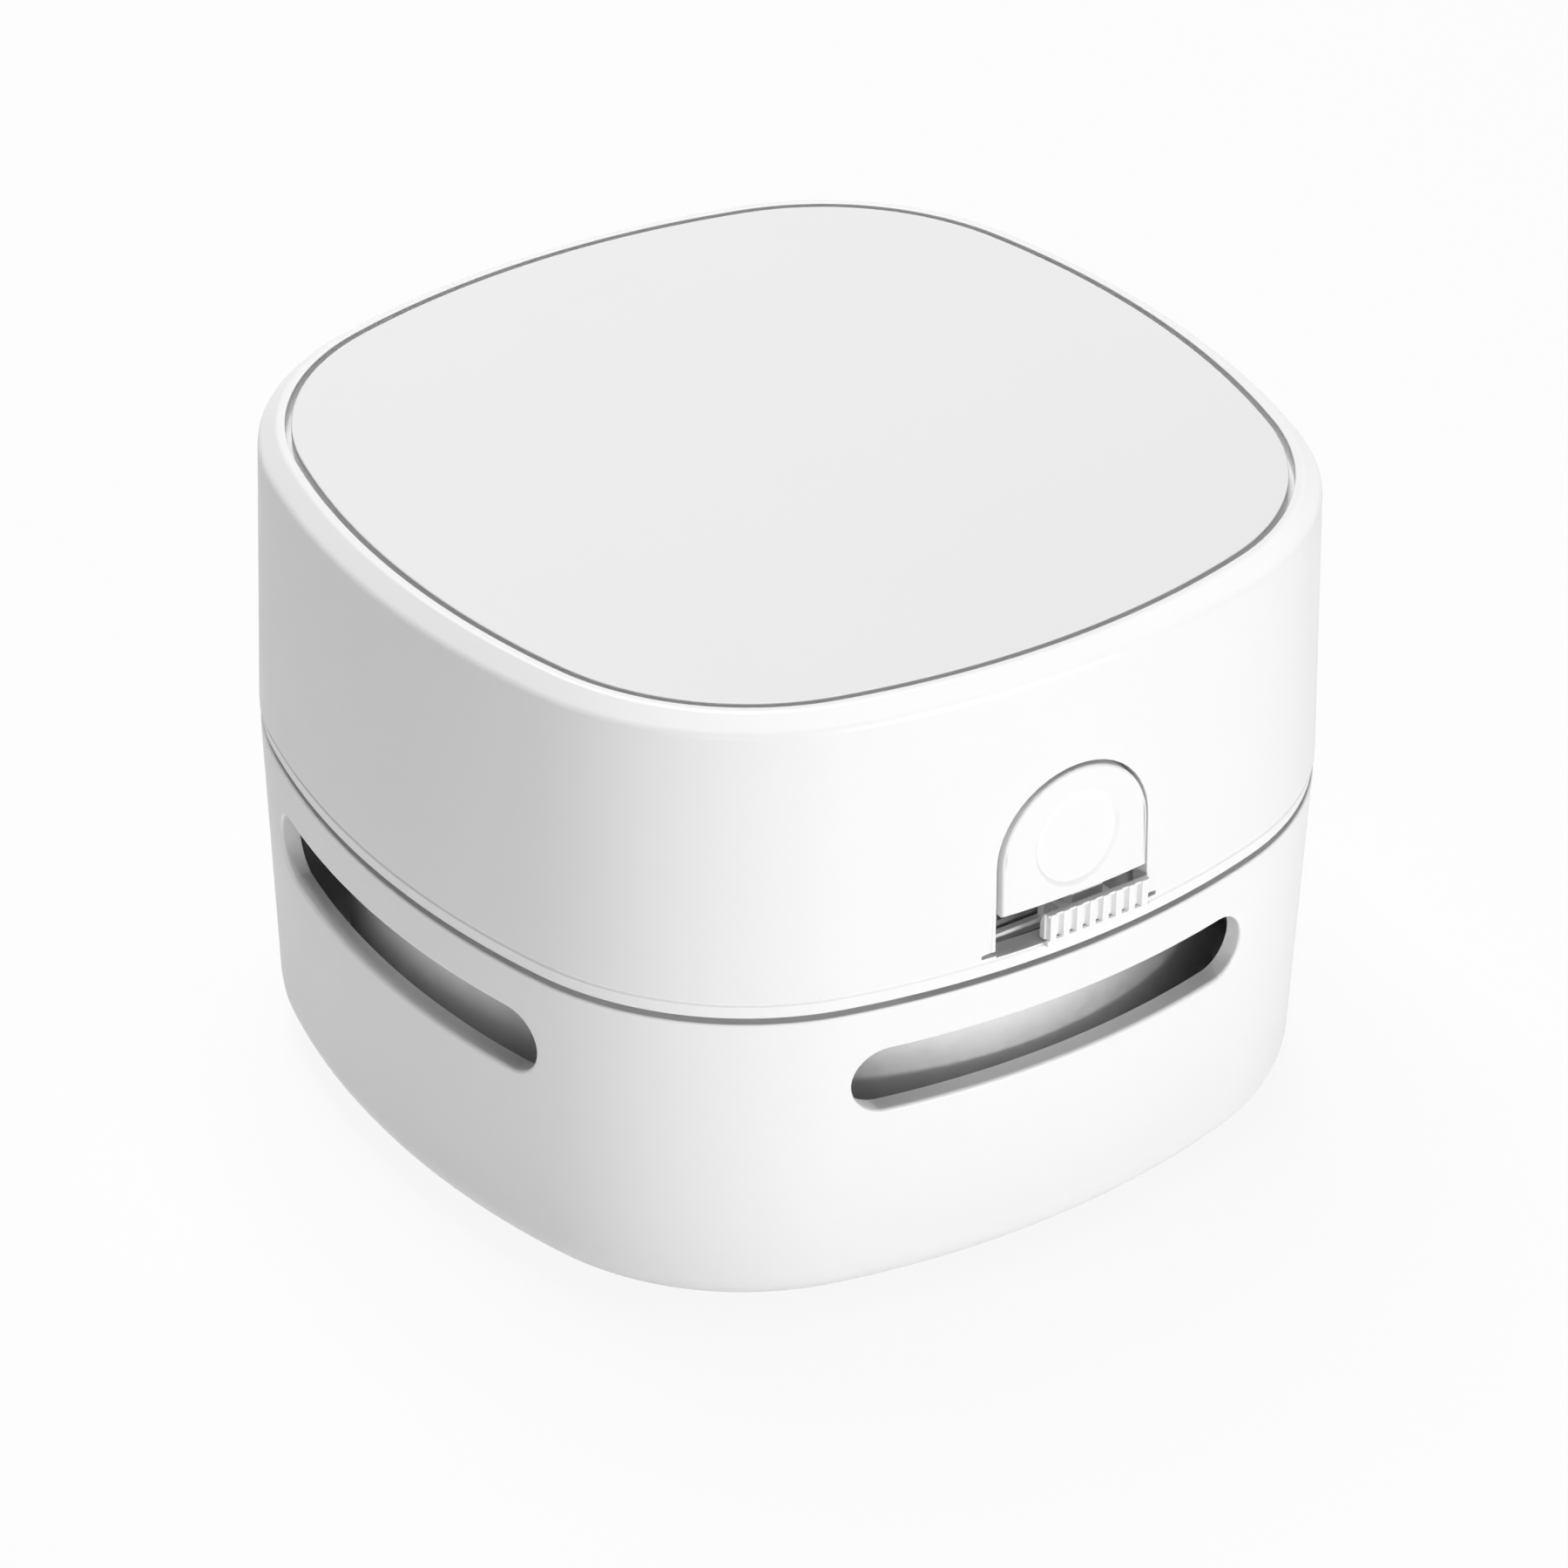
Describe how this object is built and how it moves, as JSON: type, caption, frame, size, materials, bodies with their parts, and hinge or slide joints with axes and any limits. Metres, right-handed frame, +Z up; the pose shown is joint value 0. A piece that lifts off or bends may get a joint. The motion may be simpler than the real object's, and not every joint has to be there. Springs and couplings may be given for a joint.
{
  "type": "desktop mini vacuum cleaner",
  "caption": "Palm-sized square desktop vacuum: white motor head with push-to-release latch and slide switch, lifting off a slotted dust box with filter and brush mouth.",
  "frame": {"origin": "on the desk, under the middle of the cleaner", "axes": "+Z up, front (release button and switch) towards -Y, +X to the right seen from the front"},
  "size_m": [0.084, 0.0844, 0.06],
  "materials": {
    "white_shell": "satin moulded",
    "cover_white": "fine matt",
    "smoke_plastic": "polished",
    "grey_plastic": "satin moulded",
    "bristle": "nylon tufts",
    "pad_rubber": "matt",
    "seal_rubber": "matt",
    "screw_steel": "zinc plated",
    "mesh_fabric": "fine nylon mesh",
    "spring_steel": "bright",
    "black_plastic": "satin moulded",
    "switch_grey": "satin",
    "board_green": "solder mask",
    "can_steel": "zinc plated",
    "magnet": "sintered",
    "armature": "wound",
    "impeller_plastic": "satin moulded",
    "cell_sleeve": "shrink sleeve",
    "nickel": "nickel plated"
  },
  "bodies": {
    "dust_box": {"lower_shell": "white_shell", "dust_cup": "smoke_plastic", "suction_mouth": "grey_plastic", "bristles": "bristle", "glide_pads": "pad_rubber", "base_screws": "screw_steel"},
    "filter": {"filter_frame": "grey_plastic", "filter_mesh": "mesh_fabric"},
    "impeller": {"impeller": "impeller_plastic", "motor_shaft": "spring_steel", "motor_armature": "armature"},
    "release_button": {"release_button": "white_shell"},
    "power_switch": {"switch_knob": "white_shell", "switch_lever": "black_plastic"},
    "head": {"upper_housing": "white_shell", "top_cover": "cover_white", "button_springs": "spring_steel", "switch_body": "switch_grey", "switch_board": "board_green", "motor_bracket": "black_plastic", "motor_screws": "screw_steel", "bracket_screws": "screw_steel", "motor_can": "can_steel", "motor_magnet": "magnet", "motor_end_cap": "black_plastic", "fan_cover": "black_plastic", "cover_screws": "screw_steel", "seal_ring": "seal_rubber", "battery_cell": "cell_sleeve", "battery_tabs": "nickel", "charge_board": "board_green", "board_screws": "screw_steel", "usb_socket": "nickel"}
  },
  "joints": [
    {"name": "head_lift", "type": "slide", "parent": "dust_box", "child": "head", "axis": [0, 0, 1], "range_m": [0, 0.045]},
    {"name": "filter_lift", "type": "slide", "parent": "dust_box", "child": "filter", "axis": [0, 0, 1], "range_m": [0, 0.0225]},
    {"name": "impeller_spin", "type": "hinge", "parent": "head", "child": "impeller", "pos_m": [0, 0, 0.038], "axis": [0, 0, 1], "continuous": true},
    {"name": "button_press", "type": "slide", "parent": "head", "child": "release_button", "axis": [0, 1, 0], "range_m": [0, 0.0016], "stiffness_N_per_m": 500, "springref_m": -0.001, "deforming": ["button_springs"]},
    {"name": "power_slide", "type": "slide", "parent": "head", "child": "power_switch", "axis": [-1, 0, 0], "range_m": [0, 0.0045]}
  ],
  "couplings": [
    {"joint": "filter_lift", "follows": "head_lift", "ratio": 0.5}
  ]
}
